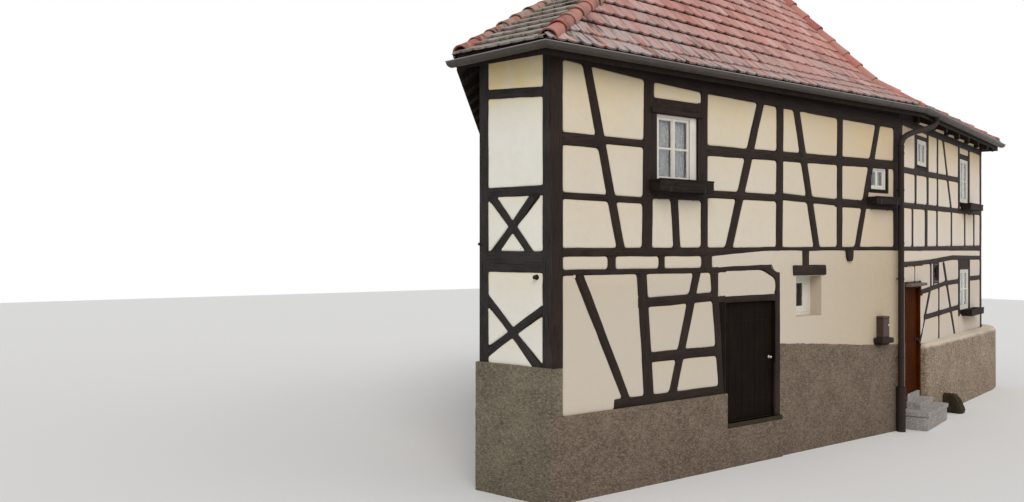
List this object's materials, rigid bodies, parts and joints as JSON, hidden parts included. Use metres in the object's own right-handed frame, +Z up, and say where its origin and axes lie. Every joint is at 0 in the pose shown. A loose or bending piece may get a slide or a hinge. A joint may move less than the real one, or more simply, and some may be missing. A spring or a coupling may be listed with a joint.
{
  "type": "half timbered house",
  "caption": "Two-storey half timbered house on a bent corner plot, with rendered panels, a tall hipped tile roof, a plank stable door and an entrance on the lane side.",
  "frame": {"origin": "front left wall corner at the outer face of the timber frame, on the lowest ground the house meets", "axes": "+X along the main front to the right, +Y into the house, +Z up"},
  "size_m": [17.4263, 9.5235, 10.73],
  "materials": {
    "stone_base": "rough",
    "plaster": "matt",
    "masonry_render": "matt",
    "timber": "matt",
    "floor_boards": "matt",
    "stable_planks": "matt",
    "entrance_planks": "satin",
    "window_paint": "satin",
    "glass": "clear",
    "roof_tile": "matt",
    "gutter_metal": "satin",
    "box_wood": "matt",
    "mailbox_metal": "satin",
    "step_stone": "rough",
    "hinge_iron": "matt"
  },
  "bodies": {
    "house": {"plinth_left": "stone_base", "plinth_front": "stone_base", "masonry_front": "masonry_render", "plinth_lane": "masonry_render", "plinth_rear": "stone_base", "thresholds": "step_stone", "frame_front_lower": "timber", "infill_front_lower": "plaster", "frame_front_upper": "timber", "infill_front_upper": "plaster", "frame_left": "timber", "infill_left": "plaster", "frame_lane_lower": "timber", "infill_lane_lower": "plaster", "frame_lane_upper": "timber", "infill_lane_upper": "plaster", "frame_rear": "timber", "infill_rear": "plaster", "corner_posts": "timber", "stable_door_frame": "timber", "entrance_frame": "timber", "infill_over_doors": "plaster", "ground_floor": "floor_boards", "upper_floor": "floor_boards", "attic_floor": "floor_boards", "window_frames_front": "window_paint", "window_panes_front": "glass", "window_frames_lane": "window_paint", "window_panes_lane": "glass", "roof_left": "roof_tile", "roof_front": "roof_tile", "roof_lane": "roof_tile", "roof_end": "roof_tile", "roof_rear": "roof_tile", "roof_rear_left": "roof_tile", "gutter": "gutter_metal", "downpipe": "gutter_metal", "window_boxes": "box_wood", "mailbox": "mailbox_metal", "entrance_canopy": "step_stone", "entrance_steps": "step_stone", "guard_stone": "step_stone", "door_pintles": "hinge_iron"},
    "stable_leaf": {"stable_door": "stable_planks"},
    "entrance_leaf": {"entrance_door": "entrance_planks"}
  },
  "joints": [
    {"name": "stable_door_hinge", "type": "hinge", "parent": "house", "child": "stable_leaf", "pos_m": [3.637, 0.123, 0.71], "axis": [0, 0, 1], "range_deg": [0, 90]},
    {"name": "entrance_door_hinge", "type": "hinge", "parent": "house", "child": "entrance_leaf", "pos_m": [9.30897, 0.27979, 0.6], "axis": [0, 0, 1], "range_deg": [0, 90]}
  ]
}
